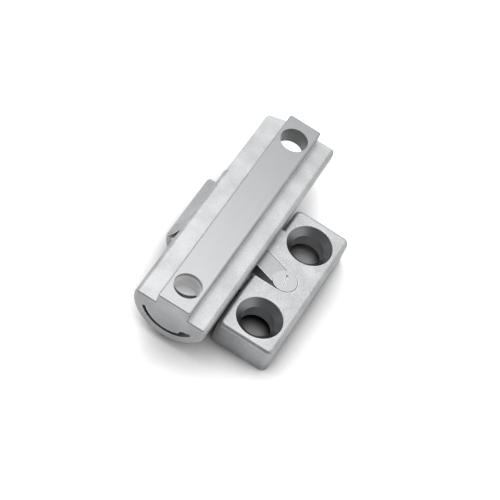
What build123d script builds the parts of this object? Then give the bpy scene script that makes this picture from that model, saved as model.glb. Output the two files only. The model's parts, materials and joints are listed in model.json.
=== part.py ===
"""Soft-close box hinge: a half-round door bar that turns in the cradle of a screwed-on frame leaf.

Frame: the origin lies on the leaf's seat, midway between its two screw holes.
+Z is up, Y runs along the hinge axis, and the bar lies on the -X side of the leaf.
The bar turns about the centre line of its own round back, so it needs no pin: a curved shoe on the
leaf runs in an arc slot inside the bar and keeps the bar in the cradle.
"""
import os
from math import cos, radians, sin, sqrt, tan

from build123d import *

# Frame leaf: the plate that is screwed to the box
LEAF_WIDTH = 13.9
LEAF_LENGTH = 38.4
LEAF_SHIFT = 0.35
LEAF_THICK = 7.1
LEAF_CORNER_R = 1.6
LEAF_EDGE_R = 1.0
FRAME_HOLE_INSET = 7.2
FRAME_HOLE_D = 7.5
FRAME_SINK_D = 10.8
FRAME_SINK_ANGLE = 90.0
HOLLOW_DEPTH = 2.3
HOLLOW_WALL = 1.6
HOLLOW_INSET = 6.0

# Door bar: the half-round rail that is screwed to the door
BAR_LENGTH = 62.0
BAR_RADIUS = 9.2
BAR_OFFSET = 4.75
BAR_FLAT_DEPTH = 0.4
BAR_EDGE_R = 1.0
BAR_OUTER_EDGE_R = 1.3
BAR_TRIM_EDGE_R = 0.3
BAR_END_R = 0.4
BAR_CORNER_R = 1.1
BAR_TRIM = 0.5
BAR_TRIM_LENGTH = 21.2
BAR_END_SKEW = 1.4
RIB_WIDTH = 8.1
RIB_HEIGHT = 2.7
RIB_EDGE_R = 0.35
RIB_CORNER_R = 0.5
DOOR_HOLE_INSET = 6.1
DOOR_HOLE_D = 6.45
DOOR_HOLE_WALL = 2.0
NUT_POCKET_WIDTH = 10.2
NUT_POCKET_REACH = 5.6
BAR_END_WALL = 2.2

# Arc slot inside the bar, with angles measured from +X towards +Z about the bar's axis
SLOT_DEPTH = 1.85
SLOT_THICK = 0.9
SLOT_START = -152.0
SLOT_END = -33.0
SLOT_MOUTH_DEPTH = 2.0
SLOT_MOUTH_RISE = 0.65
SLOT_MOUTH_HALF = 5.0
SLOT_MOUTH_TAIL = 14.0
WINDOW_END = -15.0

# Slide shoe: a curved blade with a web and a bead along the web's foot
SHOE_ANGLE = -50.0
SHOE_BLADE_LENGTH = 33.0
SHOE_WEB_THICK = 1.4
SHOE_WEB_LENGTH = 9.0
SHOE_BEAD_R = 1.1
SHOE_BEAD_DEPTH = 1.7

# Door travel that the slot and the window are cut for
DOOR_TRAVEL = 90.0
TRAVEL_MARGIN = 1.5

# Cradle, neck and lip of the leaf
CRADLE_WALL = 2.9
FOOT_FLAT = 0.9
LEAF_TUCK = 0.3
NECK_LENGTH = 14.7
NECK_OFFSET = 4.35
LIP_LENGTH = 20.3
LIP_OFFSET = 3.25
LIP_DROP = 2.6
LIP_SLOPE = 2.0
LIP_CORNER_R = 3.0
LIP_PLAN_R = 1.6
LIP_EDGE_R = 0.5
LEAD_WIDTH = 1.0
LEAD_LENGTH = 4.3

# Damping liner between the cradle and the bar
LINER_THICK = 0.55
LINER_START = -150.0
LINER_END = -91.0
LINER_INSET = 0.6

# Catch lever with its hub, post and clip
LEVER_THICK = 2.5
LEVER_HUB_D = 5.8
LEVER_HUB_RISE = 0.12
LEVER_HUB_EDGE_R = 0.12
HUB_SLOT_WIDTH = 0.5
HUB_SLOT_LENGTH = 3.2
HUB_SLOT_DEPTH = 0.35
HUB_SLOT_ANGLE = 100.0
LEVER_ARM_WIDTH = 4.65
LEVER_ANGLE = 18.0
LEVER_ARM_SINK = 0.15
LEVER_NOSE_ROOM = 2.1
LEVER_RECESS_NEAR = 3.0
LEVER_POST_D = 3.0
CLIP_D = 5.6
CLIP_THICK = 0.8
CLIP_RECESS = 1.4
POST_END = 0.2
LOCK_SCREW_D = 3.0
LOCK_SCREW_KEY = 1.5
LOCK_SCREW_KEY_DEPTH = 0.9

# Clearances
RUN_CLEAR = 0.05
POST_CLEAR = 0.04
WINDOW_CLEAR = 0.5
SEAT_CLEAR = 0.05
LEVER_SIDE_CLEAR = 0.07
LEVER_HUB_CLEAR = 0.07
LEVER_FLOOR_CLEAR = 0.1
CLIP_CLEAR = 0.1
BAR_CLEAR = 0.3

# Length by which cutting bodies run past the faces that they cut
OVERSHOOT = 1.0

# Places worked out from the sizes above
CRADLE_R = BAR_RADIUS + BAR_CLEAR
LINER_SEAT_R = BAR_RADIUS + RUN_CLEAR + LINER_THICK
CRADLE_OUTER_R = CRADLE_R + CRADLE_WALL
AXIS_X = -LEAF_WIDTH / 2 - BAR_RADIUS + LEAF_TUCK
AXIS_Z = CRADLE_OUTER_R - FOOT_FLAT
BAR_NEAR = BAR_OFFSET - BAR_LENGTH / 2
BAR_FAR = BAR_OFFSET + BAR_LENGTH / 2
SLOT_OUTER_R = BAR_RADIUS - SLOT_DEPTH
SLOT_INNER_R = SLOT_OUTER_R - SLOT_THICK
SHOE_HALF_SPAN = min(SLOT_END - SHOE_ANGLE, SHOE_ANGLE - DOOR_TRAVEL - SLOT_START) - TRAVEL_MARGIN
NECK_NEAR = NECK_OFFSET - NECK_LENGTH / 2
NECK_FAR = NECK_OFFSET + NECK_LENGTH / 2
LIP_NEAR = LIP_OFFSET - LIP_LENGTH / 2
LIP_FAR = LIP_OFFSET + LIP_LENGTH / 2
DOOR_HOLES = (BAR_NEAR + DOOR_HOLE_INSET, BAR_FAR - DOOR_HOLE_INSET)
FRAME_HOLE_Y = LEAF_LENGTH / 2 - FRAME_HOLE_INSET
BEAD_R_PLACE = CRADLE_R + SHOE_BEAD_DEPTH
BEAD_X = AXIS_X + BEAD_R_PLACE * cos(radians(SHOE_ANGLE))
BEAD_Z = AXIS_Z + BEAD_R_PLACE * sin(radians(SHOE_ANGLE))
LEAF_TOP_DROP = AXIS_Z - LEAF_THICK
LEVER_FLOOR = LEAF_THICK - LEVER_THICK - LEVER_FLOOR_CLEAR
LEVER_NOSE_X = AXIS_X + sqrt(CRADLE_R**2 - LEAF_TOP_DROP**2)


def axis_plane(y):
    """Plane across the hinge axis at a place along Y, with local x along +X and local y along +Z."""
    return Plane(origin=(AXIS_X, y, AXIS_Z), x_dir=(1, 0, 0), z_dir=(0, -1, 0))


def along_axis(section, y_near, y_far):
    """Push a section drawn about the hinge axis from y_near to y_far."""
    return extrude(axis_plane(y_far) * section, amount=y_far - y_near)


def polar(radius, angle):
    """Point at a radius and an angle about the hinge axis, in a section."""
    return (radius * cos(radians(angle)), radius * sin(radians(angle)))


def ring_sector(r_in, r_out, start, end):
    """Section of a ring between two radii and two angles."""
    outer = CenterArc((0, 0), r_out, start, end - start)
    inner = CenterArc((0, 0), r_in, start, end - start)
    sides = [Line(polar(r_in, a), polar(r_out, a)) for a in (start, end)]
    return make_face([outer, inner, *sides])


def box_section(x_min, x_max, z_min, z_max):
    """Rectangle in a section about the hinge axis."""
    return Pos((x_min + x_max) / 2, (z_min + z_max) / 2) * Rectangle(x_max - x_min, z_max - z_min)


def radial_strip(r_in, r_out, angle, thick):
    """Strip of even thickness that runs outwards along one angle."""
    return Rot(0, 0, angle) * box_section(r_in, r_out, -thick / 2, thick / 2)


def bar_plan():
    """Plan of the bar's back, whose far end falls back on the side away from the leaf."""
    near_left = (-BAR_RADIUS, BAR_NEAR)
    near_right = (BAR_RADIUS - BAR_FLAT_DEPTH, BAR_NEAR)
    far_right = (BAR_RADIUS - BAR_FLAT_DEPTH, BAR_FAR)
    far_left = (BAR_TRIM - BAR_RADIUS, BAR_FAR - BAR_END_SKEW)
    side = [(x, BAR_FAR - BAR_TRIM_LENGTH) for x in (far_left[0], near_left[0])]
    rib_left = (-RIB_WIDTH / 2, BAR_FAR)
    plan = make_face(Polyline(near_left, near_right, far_right, rib_left, far_left, *side, close=True))
    rounded = (near_left, near_right, far_right, far_left)
    corners = [min(plan.vertices(), key=lambda v: abs(v.X - x) + abs(v.Y - y)) for x, y in rounded]
    return Pos(AXIS_X, 0) * fillet(corners, BAR_CORNER_R)


def back_section(trim, outer_edge_r):
    """Section of the bar's round back, with a flat beside the leaf and its outer side trimmed."""
    lower_half = box_section(trim - BAR_RADIUS, BAR_RADIUS - BAR_FLAT_DEPTH, -BAR_RADIUS, 0)
    section = Circle(BAR_RADIUS) & lower_half
    section = fillet(section.vertices().group_by(Axis.Y)[-1].sort_by(Axis.X)[0], outer_edge_r)
    return fillet(section.vertices().group_by(Axis.Y)[-1].sort_by(Axis.X)[-1], BAR_EDGE_R)


def make_bar_blank():
    """D-shaped bar with a flat beside the leaf and a rib along its top, before the cuts."""
    near = along_axis(back_section(0, BAR_OUTER_EDGE_R), BAR_NEAR, BAR_FAR - BAR_TRIM_LENGTH)
    near = fillet(near.faces().sort_by(Axis.Y)[0].edges(), BAR_END_R)
    far = along_axis(back_section(BAR_TRIM, BAR_TRIM_EDGE_R), BAR_FAR - BAR_TRIM_LENGTH, BAR_FAR)
    far = fillet(far.faces().sort_by(Axis.Y)[-1].edges(), BAR_TRIM_EDGE_R)
    back = (near + far) & extrude(bar_plan(), amount=2 * AXIS_Z)
    rib = along_axis(box_section(-RIB_WIDTH / 2, RIB_WIDTH / 2, -RIB_HEIGHT, RIB_HEIGHT), BAR_NEAR, BAR_FAR)
    rib = fillet(rib.edges().filter_by(Axis.Z), RIB_CORNER_R)
    return back + fillet(rib.faces().sort_by(Axis.Z)[-1].edges(), RIB_EDGE_R)


def slot_mouth():
    """Wider place of the slot at the near end, where the shoe goes in."""
    points = [
        polar(SLOT_OUTER_R, SHOE_ANGLE - SLOT_MOUTH_TAIL),
        polar(SLOT_OUTER_R, SHOE_ANGLE - SLOT_MOUTH_HALF),
        polar(SLOT_OUTER_R, SHOE_ANGLE + SLOT_MOUTH_HALF),
        polar((SLOT_OUTER_R + SLOT_INNER_R) / 2, SLOT_END),
        polar(SLOT_INNER_R - SLOT_MOUTH_RISE, SHOE_ANGLE + SLOT_MOUTH_HALF),
        polar(SLOT_INNER_R - SLOT_MOUTH_RISE, SHOE_ANGLE - SLOT_MOUTH_HALF),
    ]
    return make_face(Polyline(*points, close=True))


def make_door_bar():
    bar = make_bar_blank()
    # Arc slot from end to end, with its mouth
    slot = ring_sector(SLOT_INNER_R, SLOT_OUTER_R, SLOT_START, SLOT_END)
    bar -= along_axis(slot, BAR_NEAR - OVERSHOOT, BAR_FAR + OVERSHOOT)
    bar -= along_axis(slot_mouth(), BAR_NEAR - OVERSHOOT, BAR_NEAR + SLOT_MOUTH_DEPTH)
    # Window through the outer shell, for the shoe's web over the whole travel and for the lever's nose
    window_start = SHOE_ANGLE - DOOR_TRAVEL - SHOE_HALF_SPAN
    window = ring_sector(SLOT_INNER_R, BAR_RADIUS + OVERSHOOT, window_start, WINDOW_END)
    bar -= along_axis(window, NECK_NEAR, NECK_OFFSET + SHOE_WEB_LENGTH / 2 + WINDOW_CLEAR)
    # Screw holes, and the nut pockets under them: the near one has an end wall, the far one runs out
    half_width = NUT_POCKET_WIDTH / 2
    pocket = box_section(-half_width, half_width, -BAR_RADIUS - OVERSHOOT, -DOOR_HOLE_WALL)
    bar -= along_axis(pocket, BAR_NEAR + BAR_END_WALL, DOOR_HOLES[0] + NUT_POCKET_REACH)
    bar -= along_axis(pocket, DOOR_HOLES[1] - NUT_POCKET_REACH, BAR_FAR + OVERSHOOT)
    for y in DOOR_HOLES:
        bar -= Pos(AXIS_X, y, AXIS_Z) * Cylinder(DOOR_HOLE_D / 2, 4 * BAR_RADIUS)
    return bar


def lever_plan(grow, end_x):
    """Plan of the lever, hub and slanted arm, grown all round and cut off at end_x."""
    reach = -2 * end_x
    arm = Rot(0, 0, -LEVER_ANGLE) * (Pos(-reach / 2, 0) * Rectangle(reach, LEVER_ARM_WIDTH + 2 * grow))
    keep = Pos(end_x + reach, 0) * Rectangle(2 * reach, 4 * reach)
    return arm & keep


def cradle_section():
    """Section of the lip, the cradle under the bar and the neck that joins them to the plate."""
    lip_low = LIP_DROP + LIP_SLOPE
    lip_x = -sqrt(CRADLE_OUTER_R**2 - lip_low**2)
    inner_x = -sqrt(CRADLE_R**2 - LIP_DROP**2)
    slope = [(inner_x, -LIP_DROP), (0, -LIP_DROP), (0, -AXIS_Z), (lip_x, -AXIS_Z), (lip_x, -lip_low)]
    lip = Circle(CRADLE_OUTER_R) & make_face(Polyline(*slope, close=True))
    neck = box_section(0, -AXIS_X, -AXIS_Z, -LEAF_TOP_DROP)
    section = lip + neck - Circle(CRADLE_R)
    lip_tip = section.vertices().sort_by(Axis.X)[0]
    return fillet(lip_tip, LIP_EDGE_R)


def cradle_plan():
    """Plan of the cradle: full width under the lip, drawn in to the neck beside the plate."""
    left = AXIS_X - sqrt(CRADLE_OUTER_R**2 - (LIP_DROP + LIP_SLOPE) ** 2)
    waist = AXIS_X + BAR_RADIUS / 2
    points = [
        (left, LIP_NEAR), (AXIS_X, LIP_NEAR), (waist, NECK_NEAR), (0, NECK_NEAR),
        (0, NECK_FAR), (waist, NECK_FAR), (AXIS_X, LIP_FAR), (left, LIP_FAR),
    ]
    plan = make_face(Polyline(*points, close=True))
    return fillet(plan.vertices().sort_by(Axis.X)[:2], LIP_PLAN_R)


def make_cradle():
    cradle = along_axis(cradle_section(), LIP_NEAR, LIP_FAR)
    cradle &= extrude(cradle_plan(), amount=AXIS_Z)
    # Round the lip's two corners, seen from its side
    lip_top = AXIS_Z - LIP_DROP
    side = Plane.YZ * (Pos(LIP_OFFSET, 0) * RectangleRounded(LIP_LENGTH, 2 * lip_top, LIP_CORNER_R))
    cradle &= extrude(side, amount=4 * CRADLE_OUTER_R, both=True)
    # Lead-in taper on the inner side of the lip, at its near end
    x_in, x_out = AXIS_X - CRADLE_R + LEAD_WIDTH, AXIS_X - CRADLE_R - LEAD_WIDTH
    taper = Polyline((x_in, LIP_NEAR), (x_out, LIP_NEAR), (x_in, LIP_NEAR + LEAD_LENGTH), close=True)
    cradle -= Pos(0, 0, LEAF_THICK) * extrude(make_face(taper), amount=AXIS_Z)
    # Seat of the damping liner
    seat = ring_sector(CRADLE_R - OVERSHOOT, LINER_SEAT_R, LINER_START, LINER_END)
    return cradle - along_axis(seat, LIP_NEAR + LINER_INSET, LIP_FAR - LINER_INSET)


def make_frame_leaf():
    plate = extrude(RectangleRounded(LEAF_WIDTH, LEAF_LENGTH, LEAF_CORNER_R), amount=LEAF_THICK)
    plate = Pos(0, LEAF_SHIFT) * fillet(plate.faces().sort_by(Axis.Z)[-1].edges(), LEAF_EDGE_R)
    leaf = plate + make_cradle()
    # Countersunk screw holes
    sink_depth = (FRAME_SINK_D - FRAME_HOLE_D) / 2 / tan(radians(FRAME_SINK_ANGLE / 2))
    for y in (-FRAME_HOLE_Y, FRAME_HOLE_Y):
        leaf -= Pos(0, y, LEAF_THICK / 2) * Cylinder(FRAME_HOLE_D / 2, 2 * LEAF_THICK)
        sink = Cone(FRAME_HOLE_D / 2, FRAME_SINK_D / 2, sink_depth)
        leaf -= Pos(0, y, LEAF_THICK - sink_depth / 2) * sink
    # Cored hollows from each screw hole towards the far end: the near one is closed, the far one runs out
    for y_near, y_far in ((-FRAME_HOLE_Y, -HOLLOW_INSET), (FRAME_HOLE_Y, LEAF_LENGTH)):
        hollow = Rectangle(LEAF_WIDTH - 2 * HOLLOW_WALL, y_far - y_near)
        leaf -= extrude(Pos(0, (y_near + y_far) / 2) * hollow, amount=HOLLOW_DEPTH)
    # Recess for the lever, with room on its near side, and the bore and clip recess of its post
    recess = lever_plan(LEVER_SIDE_CLEAR, LEVER_NOSE_X - LEVER_NOSE_ROOM)
    recess += Circle(LEVER_HUB_D / 2 + LEVER_HUB_CLEAR)
    room_length = LEVER_NOSE_ROOM - LEVER_NOSE_X
    room_width = LEVER_RECESS_NEAR + LEVER_ARM_WIDTH / 4
    recess += Pos(-room_length / 2, room_width / 2 - LEVER_RECESS_NEAR) * Rectangle(room_length, room_width)
    leaf -= Pos(0, 0, LEVER_FLOOR) * extrude(recess, amount=LEAF_THICK)
    leaf -= Cylinder(LEVER_POST_D / 2 + POST_CLEAR, 4 * LEAF_THICK)
    leaf -= Cylinder(CLIP_D / 2 + CLIP_CLEAR, 2 * CLIP_RECESS)
    # Groove for the shoe's bead, open at the far side, and the hole of its lock screw
    groove = Pos(*polar(BEAD_R_PLACE, SHOE_ANGLE)) * Circle(SHOE_BEAD_R + SEAT_CLEAR)
    groove += radial_strip(CRADLE_R - OVERSHOOT, BEAD_R_PLACE, SHOE_ANGLE, SHOE_WEB_THICK + 2 * SEAT_CLEAR)
    leaf -= along_axis(groove, NECK_OFFSET - SHOE_WEB_LENGTH / 2 - SEAT_CLEAR, LIP_FAR + OVERSHOOT)
    leaf -= Pos(BEAD_X, NECK_OFFSET, BEAD_Z / 2) * Cylinder(LOCK_SCREW_D / 2 + SEAT_CLEAR, BEAD_Z)
    return leaf


def make_slide_shoe():
    start, end = SHOE_ANGLE - SHOE_HALF_SPAN, SHOE_ANGLE + SHOE_HALF_SPAN
    blade = ring_sector(SLOT_INNER_R + RUN_CLEAR, SLOT_OUTER_R - RUN_CLEAR, start, end)
    shoe = along_axis(blade, NECK_OFFSET - SHOE_BLADE_LENGTH / 2, NECK_OFFSET + SHOE_BLADE_LENGTH / 2)
    web = radial_strip((SLOT_INNER_R + SLOT_OUTER_R) / 2, BEAD_R_PLACE, SHOE_ANGLE, SHOE_WEB_THICK)
    web += Pos(*polar(BEAD_R_PLACE, SHOE_ANGLE)) * Circle(SHOE_BEAD_R)
    return shoe + along_axis(web, NECK_OFFSET - SHOE_WEB_LENGTH / 2, NECK_OFFSET + SHOE_WEB_LENGTH / 2)


def make_lock_screw():
    length = BEAD_Z - SHOE_BEAD_R
    screw = Pos(BEAD_X, NECK_OFFSET, length / 2) * Cylinder(LOCK_SCREW_D / 2, length)
    key = extrude(RegularPolygon(LOCK_SCREW_KEY / 2, 6, major_radius=False), amount=LOCK_SCREW_KEY_DEPTH)
    return screw - Pos(BEAD_X, NECK_OFFSET, 0) * key


def make_damping_liner():
    liner = ring_sector(LINER_SEAT_R - LINER_THICK, LINER_SEAT_R, LINER_START, LINER_END)
    return along_axis(liner, LIP_NEAR + LINER_INSET, LIP_FAR - LINER_INSET)


def make_catch_lever():
    under = LEVER_FLOOR + LEVER_FLOOR_CLEAR
    arm = Pos(0, 0, under) * extrude(lever_plan(0, LEVER_NOSE_X), amount=LEVER_THICK - LEVER_ARM_SINK)
    # Hub with a rounded rim and a driver slot
    hub_height = LEVER_THICK + LEVER_HUB_RISE
    hub = Pos(0, 0, under + hub_height / 2) * Cylinder(LEVER_HUB_D / 2, hub_height)
    hub = fillet(hub.edges().sort_by(Axis.Z)[-1], LEVER_HUB_EDGE_R)
    slot = Rot(0, 0, HUB_SLOT_ANGLE) * Box(HUB_SLOT_LENGTH, HUB_SLOT_WIDTH, 2 * HUB_SLOT_DEPTH)
    hub -= Pos(0, 0, under + hub_height) * slot
    post_length = under - POST_END
    post = Pos(0, 0, POST_END + post_length / 2) * Cylinder(LEVER_POST_D / 2, post_length)
    return arm + hub + post


def make_lever_clip():
    ring = Cylinder(CLIP_D / 2, CLIP_THICK) - Cylinder(LEVER_POST_D / 2, 2 * CLIP_THICK)
    return Pos(0, 0, CLIP_RECESS - CLIP_CLEAR - CLIP_THICK / 2) * ring


MAKERS = {
    "frame_leaf": make_frame_leaf,
    "slide_shoe": make_slide_shoe,
    "lock_screw": make_lock_screw,
    "damping_liner": make_damping_liner,
    "catch_lever": make_catch_lever,
    "lever_clip": make_lever_clip,
    "door_bar": make_door_bar,
}

os.makedirs("parts", exist_ok=True)
for name, make in MAKERS.items():
    piece = make()
    piece.label = name
    export_step(piece, f"parts/{name}.step")
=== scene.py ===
# %% [markdown]
# # A soft-close box hinge in bare die-cast zinc
# The hinge is two castings: a half-round bar for the door, and a flat leaf for the box, which cradles the
# bar. The solids already have their real size and place, in metres. They could be modelled again here, but
# then two models would have to agree. So this lesson dresses them: it works out what each material looks
# like, gives every piece its finish, adds one small cup, and sets up the table, the light and the camera.

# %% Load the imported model
import json
from math import cos, pi, radians, sin

import bpy
from mathutils import Matrix, Vector
from mathutils.geometry import intersect_line_sphere_2d


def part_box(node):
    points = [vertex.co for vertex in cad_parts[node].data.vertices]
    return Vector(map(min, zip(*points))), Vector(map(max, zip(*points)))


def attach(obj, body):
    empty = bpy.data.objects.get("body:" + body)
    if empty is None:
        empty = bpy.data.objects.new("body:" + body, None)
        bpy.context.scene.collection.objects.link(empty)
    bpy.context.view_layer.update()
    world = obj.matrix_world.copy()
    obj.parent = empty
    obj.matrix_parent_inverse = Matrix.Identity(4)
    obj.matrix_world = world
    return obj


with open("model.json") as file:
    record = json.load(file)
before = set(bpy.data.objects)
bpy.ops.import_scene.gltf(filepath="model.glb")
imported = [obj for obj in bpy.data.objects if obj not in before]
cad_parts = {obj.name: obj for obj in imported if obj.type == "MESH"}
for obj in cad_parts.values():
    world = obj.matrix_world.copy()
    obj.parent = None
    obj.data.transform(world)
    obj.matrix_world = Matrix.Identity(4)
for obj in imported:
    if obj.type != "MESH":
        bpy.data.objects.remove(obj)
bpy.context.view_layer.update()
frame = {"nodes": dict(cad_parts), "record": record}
MM = 0.001
print("pieces:", ", ".join(sorted(frame["nodes"])))

# %% [markdown]
# ## Places on the hinge
# Some surfaces were finished after casting. The rib's top was ground flat for the door, and the lever's hub
# was burnished. Both are the highest faces of their piece, so the boxes of the nodes say where they are.
# The seats of the two frame screws were turned, and the near door hole has a nylon cup. The record says
# where the screws go. These places could be typed in, but read from the frame they follow when a size
# changes.

# %% Heights and centres from the boxes and the record
RIB_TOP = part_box("door_bar")[1][2]
HUB_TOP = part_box("catch_lever")[1][2]
mounts = {mount["name"]: mount for mount in frame["record"]["mounts"]}
door_screws = mounts["door_screws"]
HOLE_R_MM = door_screws["dims"]["hole_r_mm"]
near_screw = Vector(door_screws["pos_m"]) - Vector((0, door_screws["dims"]["spacing_y_mm"] * MM / 2, 0))
SEAT_Y = mounts["frame_screws"]["dims"]["spacing_y_mm"] * MM / 2
print(f"rib top {RIB_TOP / MM:.1f} mm, hub top {HUB_TOP / MM:.2f} mm")
print(f"near door screw at y {near_screw.y / MM:.1f} mm, frame screws at y {SEAT_Y / MM:.1f} mm both ways")

# %% [markdown]
# ## Colour and node helpers
# Colours are written as sRGB hex, the way a picture shows them, and one function turns them into the linear
# values that the renderer wants. A second one adds a shader node with its settings and links, which keeps a
# material to a few lines. The third starts a material and gives its tree, its shader and the place on the
# hinge, in metres. A Mix node has sockets for every kind of value, so the ones used here get names.

# %% Three helpers
MIX_A, MIX_B = 2, 3
COLOUR_A, COLOUR_B, COLOUR_OUT = 6, 7, 2


def linear(hex_colour):
    """Linear RGBA from an sRGB hex colour."""
    channels = [int(hex_colour[i:i + 2], 16) / 255 for i in (1, 3, 5)]
    return [c / 12.92 if c <= 0.04045 else ((c + 0.055) / 1.055) ** 2.4 for c in channels] + [1.0]


def add(tree, kind, inputs=None, **settings):
    """Add one node, set its properties, and set or link its inputs."""
    node = tree.nodes.new(kind)
    for name, value in settings.items():
        setattr(node, name, value)
    for socket, value in (inputs or {}).items():
        if isinstance(value, bpy.types.NodeSocket):
            tree.links.new(value, node.inputs[socket])
        else:
            node.inputs[socket].default_value = value
    return node


def start(name):
    """A new material, its node tree, its shader and the place on the hinge."""
    material = bpy.data.materials.new(name)
    material.use_nodes = True
    tree = material.node_tree
    return material, tree, tree.nodes["Principled BSDF"], add(tree, "ShaderNodeTexCoord").outputs["Object"]


print("grey card:", [round(c, 3) for c in linear("#808080")])

# %% [markdown]
# ## Die-cast zinc: the tumbled skin
# Zinc castings come out of a polished steel die and are tumbled to take off the flash. That leaves a soft
# grey satin with faint clouds, where the metal flowed and shrank a few microns, a fine grain from the
# tumbling stones, and edges worn a little brighter. Here the edges are painted brighter still: a painted
# highlight, where the light catches them. A picture of zinc could be wrapped round the pieces, but noise in
# the hinge's own millimetres has no seams. The clouds are 5 mm across. The grain is finer in truth, and is
# drawn at 0.25 mm so that it shows at this distance.

# %% Tumbled skin
CLOUD_MM = 5.0
GRAIN_MM = 0.25
TINT_FROM, TINT_TO = 0.7, 1.3
# Edge colour: a little wear from tumbling, and a painted highlight on top of it
EDGE_MM = 0.3
EDGE_BRIGHT_FROM, EDGE_BRIGHT_FULL = 0.99, 0.85
EDGE_WEAR_AND_HIGHLIGHT = "#ededee"


def tumbled_skin(tree, place, dark, light):
    """The skin's colour, and the clouds and the grain that it is made of."""
    clouds = add(tree, "ShaderNodeTexNoise", {"Vector": place, "Scale": 1 / (CLOUD_MM * MM), "Detail": 4.0})
    grain = add(tree, "ShaderNodeTexNoise", {"Vector": place, "Scale": 1 / (GRAIN_MM * MM), "Detail": 2.0})
    both = add(tree, "ShaderNodeMath", {0: clouds.outputs["Fac"], 1: grain.outputs["Fac"]}, operation="ADD")
    tint = add(tree, "ShaderNodeMapRange",
               {"Value": both.outputs[0], "From Min": TINT_FROM, "From Max": TINT_TO})
    skin = add(tree, "ShaderNodeMix",
               {"Factor": tint.outputs[0], COLOUR_A: linear(dark), COLOUR_B: linear(light)}, data_type="RGBA")
    # Where a rounded normal leaves the true one there is an edge, worn a little by the stones and painted
    # brighter as a highlight
    rounded = add(tree, "ShaderNodeBevel", {"Radius": EDGE_MM * MM}, samples=6)
    true = add(tree, "ShaderNodeNewGeometry")
    same = add(tree, "ShaderNodeVectorMath", {0: rounded.outputs[0], 1: true.outputs["Normal"]},
               operation="DOT_PRODUCT")
    wear_and_highlight = add(tree, "ShaderNodeMapRange",
              {"Value": same.outputs["Value"], "From Min": EDGE_BRIGHT_FROM, "From Max": EDGE_BRIGHT_FULL})
    # The edges get a brighter colour: partly wear, partly a painted highlight
    brightened = add(tree, "ShaderNodeMix",
                 {"Factor": wear_and_highlight.outputs[0], COLOUR_A: skin.outputs[COLOUR_OUT], COLOUR_B: linear(EDGE_WEAR_AND_HIGHLIGHT)},
                 data_type="RGBA")
    return brightened.outputs[COLOUR_OUT], clouds.outputs["Fac"], grain.outputs["Fac"]


print(f"skin: clouds of {CLOUD_MM} mm, grain of {GRAIN_MM} mm, edges rubbed {EDGE_MM} mm wide")

# %% [markdown]
# ## Ground and burnished faces
# The ground rib top and the burnished hub are smoother than the skin, with fine lines along the hinge. The
# faces could have a material of their own, but then they would have to be picked out one by one. Here the
# height picks them: what lies within a tenth of a millimetre of the piece's top is finished. The lines are
# noise stretched along the hinge, drawn 0.35 mm wide, coarser than a grinding wheel leaves them, so that
# they show.

# %% Finished face
LINE_MM = 0.35
LINE_LENGTH_MM = 25.0
FINISH_FROM_MM, FINISH_FULL_MM = 0.12, 0.04


def finished_face(tree, place, top, dark, light):
    """Where the finish is, and its colour."""
    across, lengthways = 1 / (LINE_MM * MM), 1 / (LINE_LENGTH_MM * MM)
    stretch = add(tree, "ShaderNodeMapping", {"Vector": place, "Scale": [across, lengthways, across]})
    lines = add(tree, "ShaderNodeTexNoise", {"Vector": stretch.outputs[0], "Scale": 1.0, "Detail": 2.0})
    colour = add(tree, "ShaderNodeMix",
                 {"Factor": lines.outputs["Fac"], COLOUR_A: linear(dark), COLOUR_B: linear(light)},
                 data_type="RGBA")
    height = add(tree, "ShaderNodeSeparateXYZ", {0: place}).outputs["Z"]
    where = add(tree, "ShaderNodeMapRange",
                {"Value": height,
                 "From Min": top - FINISH_FROM_MM * MM, "From Max": top - FINISH_FULL_MM * MM})
    return where.outputs[0], colour.outputs[COLOUR_OUT]


print(f"finished faces: lines of {LINE_MM} by {LINE_LENGTH_MM} mm")

# %% [markdown]
# ## Turned screw seats
# The countersinks in the leaf were turned after casting, which leaves fine rings and a smoother metal.
# Their colour is also painted darker, as painted shade in the hollow of the countersinks. Rings could be cut
# into the mesh, but at this size only their colour shows. It is noise of the distance from the screw's axis.
# The two seats mirror each other across y = 0, so with the place folded there one distance serves both. The
# rings are drawn 0.4 mm wide, coarser than the tool's feed, so that they show.

# %% Turned seats
SEAT_R_MM = 5.3
RING_MM = 0.4


def seats_with_painted_shade(tree, place):
    """Where the two seats are, and their colour: turned rings, painted darker as shade in the countersinks.
    """
    plan = add(tree, "ShaderNodeVectorMath", {0: place, 1: (1, 1, 0)}, operation="MULTIPLY")
    folded = add(tree, "ShaderNodeVectorMath", {0: plan.outputs[0]}, operation="ABSOLUTE")
    away = add(tree, "ShaderNodeVectorMath", {0: folded.outputs[0], 1: (0, SEAT_Y, 0)}, operation="DISTANCE")
    radius = away.outputs["Value"]
    where = add(tree, "ShaderNodeMath", {0: radius, 1: SEAT_R_MM * MM}, operation="LESS_THAN")
    rings = add(tree, "ShaderNodeTexNoise", {"W": radius, "Scale": 1 / (RING_MM * MM)}, noise_dimensions="1D")
    # Painted shade: the seats are coloured darker than the skin; the rings in it are the turning marks
    colour = add(tree, "ShaderNodeMix",
                 {"Factor": rings.outputs["Fac"], COLOUR_A: linear("#747577"), COLOUR_B: linear("#969799")},
                 data_type="RGBA")
    return where.outputs[0], colour.outputs[COLOUR_OUT]


print(f"seats: {SEAT_R_MM} mm in radius, rings of {RING_MM} mm")

# %% [markdown]
# ## The zinc of the castings
# The material lays the three over each other: skin, finished face, seats. The clouds also vary the gloss a
# little. The surface is not quite flat: two bumps of a few hundredths of a millimetre, one from the clouds
# and one from the grain, break up what it mirrors. The bar and the leaf are one zinc, and the lever is a
# slightly darker one.

# %% Zinc materials
CLOUD_LOW, CLOUD_HIGH = 0.3, 0.7
GLOSS_SPREAD = 0.04
SEAT_ROUGHNESS = 0.3
WAVE_MM = 0.02
WAVE_STRENGTH = 0.6
PIT_MM = 0.03
PIT_STRENGTH = 0.15


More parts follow.
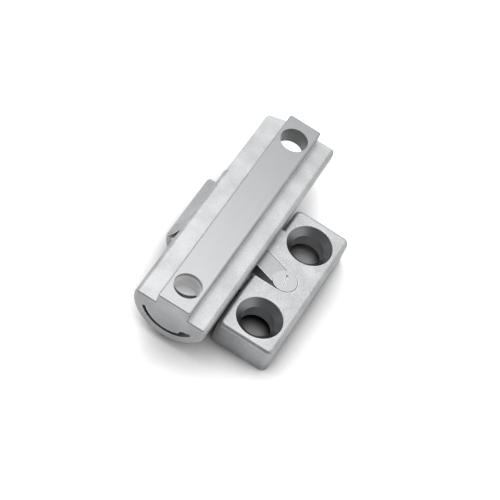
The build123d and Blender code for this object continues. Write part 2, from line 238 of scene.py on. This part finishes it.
def cast_zinc(name, skin, roughness, top, finish, finish_roughness):
    """Tumbled zinc casting, finished at its top; skin and finish are each a dark and a light colour."""
    material, tree, shader, place = start(name)
    skin_colour, clouds, grain = tumbled_skin(tree, place, *skin)
    finished, finish_colour = finished_face(tree, place, top, *finish)
    seat, seat_rings_and_shade_colour = seats_with_painted_shade(tree, place)
    colour = add(tree, "ShaderNodeMix",
                 {"Factor": finished, COLOUR_A: skin_colour, COLOUR_B: finish_colour}, data_type="RGBA")
    colour = add(tree, "ShaderNodeMix",
                 {"Factor": seat, COLOUR_A: colour.outputs[COLOUR_OUT], COLOUR_B: seat_rings_and_shade_colour},
                 data_type="RGBA")
    gloss = add(tree, "ShaderNodeMapRange",
                {"Value": clouds, "From Min": CLOUD_LOW, "From Max": CLOUD_HIGH,
                 "To Min": roughness - GLOSS_SPREAD, "To Max": roughness + GLOSS_SPREAD})
    gloss = add(tree, "ShaderNodeMix", {"Factor": finished, MIX_A: gloss.outputs[0], MIX_B: finish_roughness})
    gloss = add(tree, "ShaderNodeMix", {"Factor": seat, MIX_A: gloss.outputs[0], MIX_B: SEAT_ROUGHNESS})
    waves = add(tree, "ShaderNodeBump",
                {"Height": clouds, "Strength": WAVE_STRENGTH, "Distance": WAVE_MM * MM})
    pits = add(tree, "ShaderNodeBump",
               {"Height": grain, "Strength": PIT_STRENGTH, "Distance": PIT_MM * MM,
                "Normal": waves.outputs[0]})
    tree.links.new(colour.outputs[COLOUR_OUT], shader.inputs["Base Color"])
    tree.links.new(gloss.outputs[0], shader.inputs["Roughness"])
    tree.links.new(pits.outputs[0], shader.inputs["Normal"])
    shader.inputs["Metallic"].default_value = 1.0
    return material


ZINC = cast_zinc("zinc_die_cast_tumbled", ("#a0a1a2", "#c6c7c8"), 0.45,
                 RIB_TOP, ("#969798", "#9c9d9e"), 0.28)
LEVER_ZINC = cast_zinc("zinc_die_cast_lever", ("#999a9d", "#a6a7aa"), 0.38,
                       HUB_TOP, ("#a4a5a6", "#adaeaf"), 0.34)
print("made", ZINC.name, "and", LEVER_ZINC.name)

# %% [markdown]
# ## Spring steel
# The shoe and the clip are rolled spring steel. Rolling leaves a smooth grey metal with streaks along the
# strip. Blender's anisotropic gloss could stretch the highlights instead, but these pieces are nearly
# hidden, and a streaked colour is enough. The streaks are noise stretched along the hinge.

# %% Spring steel
STREAK_MM = 0.2
STREAK_LENGTH_MM = 8.0

SPRING_STEEL, tree, shader, place = start("spring_steel_rolled")
across, lengthways = 1 / (STREAK_MM * MM), 1 / (STREAK_LENGTH_MM * MM)
stretch = add(tree, "ShaderNodeMapping", {"Vector": place, "Scale": [across, lengthways, across]})
streaks = add(tree, "ShaderNodeTexNoise", {"Vector": stretch.outputs[0], "Scale": 1.0, "Detail": 3.0})
colour = add(tree, "ShaderNodeMix",
             {"Factor": streaks.outputs["Fac"], COLOUR_A: linear("#9b9b9d"), COLOUR_B: linear("#b9babc")},
             data_type="RGBA")
tree.links.new(colour.outputs[COLOUR_OUT], shader.inputs["Base Color"])
shader.inputs["Metallic"].default_value = 1.0
shader.inputs["Roughness"].default_value = 0.32
print("made", SPRING_STEEL.name)

# %% [markdown]
# ## Black oxide steel
# The lock screw is steel with a black oxide skin from a hot salt bath. It is dark, with a brown cast in
# patches under a millimetre wide. A coat over bright steel would be nearer the truth, but so thin a skin
# looks the same as one dark metal, so that is what it is here.

# %% Black oxide steel
PATCH_MM = 0.8

BLACK_STEEL, tree, shader, place = start("steel_black_oxide")
patches = add(tree, "ShaderNodeTexNoise", {"Vector": place, "Scale": 1 / (PATCH_MM * MM), "Detail": 3.0})
colour = add(tree, "ShaderNodeMix",
             {"Factor": patches.outputs["Fac"], COLOUR_A: linear("#262628"), COLOUR_B: linear("#3b3836")},
             data_type="RGBA")
tree.links.new(colour.outputs[COLOUR_OUT], shader.inputs["Base Color"])
shader.inputs["Metallic"].default_value = 1.0
shader.inputs["Roughness"].default_value = 0.42
print("made", BLACK_STEEL.name)

# %% [markdown]
# ## Polymers
# The liner is black acetal, and the cup in the near door hole is natural nylon. Moulded polymers are even
# in colour, with faint flow marks a few millimetres long. One function makes both, because only the colours
# and the gloss differ. Thin nylon lets some light through, but the cup lies against metal, so it is opaque
# here.

# %% Polymer materials
FLOW_MM = 2.5


def moulded(name, dark, light, roughness):
    """Moulded polymer with faint flow marks."""
    material, tree, shader, place = start(name)
    flow = add(tree, "ShaderNodeTexNoise", {"Vector": place, "Scale": 1 / (FLOW_MM * MM), "Distortion": 1.5})
    colour = add(tree, "ShaderNodeMix",
                 {"Factor": flow.outputs["Fac"], COLOUR_A: linear(dark), COLOUR_B: linear(light)},
                 data_type="RGBA")
    tree.links.new(colour.outputs[COLOUR_OUT], shader.inputs["Base Color"])
    shader.inputs["Roughness"].default_value = roughness
    return material


ACETAL = moulded("acetal_black_moulded", "#121213", "#1d1d1e", 0.45)
NYLON = moulded("nylon_natural_moulded", "#e4e4e4", "#ececec", 0.5)
print("made", ACETAL.name, "and", NYLON.name)

# %% [markdown]
# ## A finish for every piece
# Each piece of the hinge is one metal or one polymer all through, so each node gets one material. The faces
# that differ are told apart inside the material. A table from node to finish keeps it in one place.

# %% Give every node its finish
FINISH = {
    "frame_leaf": ZINC, "door_bar": ZINC, "catch_lever": LEVER_ZINC, "slide_shoe": SPRING_STEEL,
    "lever_clip": SPRING_STEEL, "lock_screw": BLACK_STEEL, "damping_liner": ACETAL,
}
for node, material in FINISH.items():
    mesh_object = frame["nodes"][node]
    mesh_object.data.materials.clear()
    mesh_object.data.materials.append(material)
    print(node, "->", material.name)

# %% [markdown]
# ## Nylon cup in the near door hole
# A thin nylon cup sits in the near door hole. Its floor has a slot with a round tongue behind it, and the
# tongue holds the screw until it meets its nut. Cylinders and a boolean cut could make it, but a stack of
# rings has fewer faces and always closes. Its walls are the bands between the rings, and heights are
# measured from the rib's top. The last two rings follow the slot: each of their points lies on a line from
# the slot's near side to the wall, where the line first meets the tongue, or else at the wall.

# %% Cup
CUP_TOP_MM = -0.9
CUP_LINE_MM = -2.2
CUP_LINE_WIDTH_MM = 0.15
CUP_FLOOR_MM = -4.3
CUP_END_MM = -4.42
CUP_WALL_MM = 0.18
CUP_GAP_MM = 0.01
CUP_LEDGE_MM = 0.05
CUP_SIDES = 72
SLOT_FROM_MM = (0.0, -0.5)
SLOT_NEAR_MM = -0.2
TONGUE_MM = (-1.0, 4.2)
TONGUE_R_MM = 3.6

outer = HOLE_R_MM - CUP_GAP_MM
inner = outer - CUP_WALL_MM
groove = inner + CUP_WALL_MM / 2
line_end = CUP_LINE_MM - CUP_LINE_WIDTH_MM
rings = [
    (outer, CUP_END_MM), (outer, CUP_TOP_MM), (inner, CUP_TOP_MM), (inner, CUP_LINE_MM),
    (groove, CUP_LINE_MM), (groove, line_end), (inner, line_end), (inner, CUP_FLOOR_MM),
]
points, faces = [], []
for i in range(CUP_SIDES):
    turn = 2 * pi * i / CUP_SIDES
    spoke = Vector((cos(turn), sin(turn)))
    wall = spoke * (inner - CUP_LEDGE_MM)
    hits = intersect_line_sphere_2d(SLOT_FROM_MM, wall, TONGUE_MM, TONGUE_R_MM)
    edge = next((hit for hit in hits if hit is not None), wall)
    # The slot's near edge is straight
    edge.y = max(edge.y, SLOT_NEAR_MM)
    column = [(*(spoke * r), z) for r, z in rings] + [(*edge, CUP_FLOOR_MM), (*edge, CUP_END_MM)]
    points += [near_screw + Vector(point) * MM for point in column]
    here, there = i * len(column), (i + 1) % CUP_SIDES * len(column)
    for j in range(len(column)):
        k = (j + 1) % len(column)
        faces.append((here + j, here + k, there + k, there + j))
mesh = bpy.data.meshes.new("screw_cup")
mesh.from_pydata(points, [], faces)
mesh.materials.append(NYLON)
cup = bpy.data.objects.new("screw_cup", mesh)
bpy.context.collection.objects.link(cup)
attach(cup, "door_half")
print("cup of", len(faces), "faces")

# %% [markdown]
# ## White table
# The hinge lies on white paper. The lights alone would leave only a pale shadow under it. Two Ambient
# Occlusion nodes deepen it: they measure how much of the hinge stands over a spot, within 14 mm for the
# soft shadow and within 4 mm for the dark contact, and the paper's colour is painted darker there. This
# painted shadow follows the hinge; one painted at a fixed place would look the same at rest, but it would
# stay behind when the hinge moves.

# %% Table
TABLE_SIZE = 4.0
SHADE_MM = 14.0
SHADE_FULL, SHADE_NONE = 0.3, 1.0
CONTACT_MM = 4.0
CONTACT_FULL, CONTACT_NONE = 0.3, 0.8

bpy.ops.mesh.primitive_plane_add(size=TABLE_SIZE)
table = bpy.context.object
table.name = "table"
white = bpy.data.materials.new("white_table")
white.use_nodes = True
table.data.materials.append(white)
tree = white.node_tree
tree.nodes.clear()
openness = add(tree, "ShaderNodeAmbientOcclusion", {"Distance": SHADE_MM * MM}, samples=16)
clear = add(tree, "ShaderNodeMapRange",
            {"Value": openness.outputs["AO"], "From Min": SHADE_FULL, "From Max": SHADE_NONE})
close = add(tree, "ShaderNodeAmbientOcclusion", {"Distance": CONTACT_MM * MM}, samples=16)
gap = add(tree, "ShaderNodeMapRange",
          {"Value": close.outputs["AO"], "From Min": CONTACT_FULL, "From Max": CONTACT_NONE})
# Painted shadow: the paper's colour darkens where the hinge stands close over it
shade = add(tree, "ShaderNodeMix",
            {"Factor": gap.outputs[0], COLOUR_A: linear("#202020"), COLOUR_B: linear("#989898")},
            data_type="RGBA")
sheet = add(tree, "ShaderNodeMix",
            {"Factor": clear.outputs[0], COLOUR_A: shade.outputs[COLOUR_OUT], COLOUR_B: linear("#f0f0f0")},
            data_type="RGBA")
paper = add(tree, "ShaderNodeBsdfDiffuse", {"Color": sheet.outputs[COLOUR_OUT]})
print(f"table: soft shadow within {SHADE_MM} mm, contact shadow within {CONTACT_MM} mm")

# %% [markdown]
# ## Glow of the table
# More light would turn the paper white, but the zinc too. So the paper glows a little where the camera sees
# it, and fainter where the metal mirrors it, and this glow lights nothing else. It is weaker under the
# hinge, a painted shadow, and stronger on the far left of the hinge than on the near right, as painted light
# falling from the far left.

# %% Glow
OPEN_SIDE = (-0.85, 0.53, 0.0)
OPEN_FROM_MM, OPEN_TO_MM = -6.0, 6.0
GLOW_NEAR = 0.45
GLOW_OPEN = 0.9
GLOW_MIRRORED = 0.12

spot = add(tree, "ShaderNodeNewGeometry").outputs["Position"]
# Painted light: the glow ramps up towards the far left, and the shade mask lowers it under the hinge
along = add(tree, "ShaderNodeVectorMath", {0: spot, 1: OPEN_SIDE}, operation="DOT_PRODUCT")
level = add(tree, "ShaderNodeMapRange",
            {"Value": along.outputs["Value"], "From Min": OPEN_FROM_MM * MM, "From Max": OPEN_TO_MM * MM,
             "To Min": GLOW_NEAR, "To Max": GLOW_OPEN}, interpolation_type="SMOOTHSTEP")
bright = add(tree, "ShaderNodeMath", {0: clear.outputs[0], 1: level.outputs[0]}, operation="MULTIPLY")
ray = add(tree, "ShaderNodeLightPath").outputs
seen = add(tree, "ShaderNodeMath", {0: ray["Is Camera Ray"], 1: bright.outputs[0]}, operation="MULTIPLY")
mirrored = add(tree, "ShaderNodeMath", {0: ray["Is Glossy Ray"], 1: ray["Is Transmission Ray"]},
               operation="MAXIMUM")
strength = add(tree, "ShaderNodeMath",
               {0: mirrored.outputs[0], 1: GLOW_MIRRORED, 2: seen.outputs[0]}, operation="MULTIPLY_ADD")
glow = add(tree, "ShaderNodeEmission", {"Color": linear("#ffffff"), "Strength": strength.outputs[0]})
lit = add(tree, "ShaderNodeAddShader", {0: paper.outputs[0], 1: glow.outputs[0]})
add(tree, "ShaderNodeOutputMaterial", {"Surface": lit.outputs[0]})
print(f"glow: {GLOW_NEAR} to {GLOW_OPEN} for the camera, {GLOW_MIRRORED} in the metal")

# %% [markdown]
# ## Light
# Bare metal shows the room around it, so most of the light is the room itself: bright behind the hinge,
# which the flat tops mirror, and dim in front, which darkens the faces towards the camera. Several lamps
# could do the same, but they would leave hard highlights. One broad softbox hangs above, to the left, and
# shades the tops along the bar.

# %% Light
BRIGHT_SIDE = (0.4, 0.92, 0.0)
ROOM_TURNS_FROM, ROOM_TURNS_TO = -0.6, 0.3
ROOM_FRONT = 0.25
ROOM_BACK = 0.98
SOFTBOX_SIZE = 0.5
SOFTBOX_WATTS = 1.6
SOFTBOX_PLACE = (-0.25, 0.1, 0.45)

world = bpy.data.worlds.new("studio")
bpy.context.scene.world = world
world.use_nodes = True
tree = world.node_tree
way = add(tree, "ShaderNodeTexCoord").outputs["Generated"]
side = add(tree, "ShaderNodeVectorMath", {0: way, 1: BRIGHT_SIDE}, operation="DOT_PRODUCT")
room = add(tree, "ShaderNodeMapRange",
           {"Value": side.outputs["Value"], "From Min": ROOM_TURNS_FROM, "From Max": ROOM_TURNS_TO,
            "To Min": ROOM_FRONT, "To Max": ROOM_BACK}, interpolation_type="SMOOTHSTEP")
background = tree.nodes["Background"]
background.inputs["Color"].default_value = linear("#ffffff")
tree.links.new(room.outputs[0], background.inputs["Strength"])

lamp = bpy.data.lights.new("softbox", "AREA")
lamp.size = SOFTBOX_SIZE
lamp.energy = SOFTBOX_WATTS
softbox = bpy.data.objects.new("softbox", lamp)
softbox.location = SOFTBOX_PLACE
bpy.context.collection.objects.link(softbox)
print(f"room {ROOM_FRONT} in front and {ROOM_BACK} behind, softbox {SOFTBOX_WATTS} W")

# %% [markdown]
# ## Camera
# The photograph was taken with a long lens from above the near end, with the camera tilted. The angles and
# the distance were fitted to the edges of the bar and the leaf. A constraint could aim the camera, but a
# matrix made from the angles also holds the tilt.

# %% Camera
LENS_MM = 180.0
SENSOR_MM = 36.0
NEAREST = 0.01
AZIMUTH = radians(-7.79)
ELEVATION = radians(52.46)
ROLL = radians(25.79)
DISTANCE = 550.08 * MM
TARGET = Vector((-10.28, 2.17, 7.1)) * MM

look = Vector((sin(AZIMUTH) * cos(ELEVATION), cos(AZIMUTH) * cos(ELEVATION), -sin(ELEVATION)))
upright = look.to_track_quat("-Z", "Y").to_matrix().to_4x4()
camera = bpy.data.objects.new("camera", bpy.data.cameras.new("camera"))
camera.data.lens = LENS_MM
camera.data.sensor_width = SENSOR_MM
camera.data.clip_start = NEAREST
camera.matrix_world = Matrix.Translation(TARGET - DISTANCE * look) @ upright @ Matrix.Rotation(ROLL, 4, "Z")
bpy.context.collection.objects.link(camera)
bpy.context.scene.camera = camera
bpy.context.scene.view_settings.view_transform = "Standard"
print(f"camera {DISTANCE / MM:.0f} mm away with a {LENS_MM:.0f} mm lens")
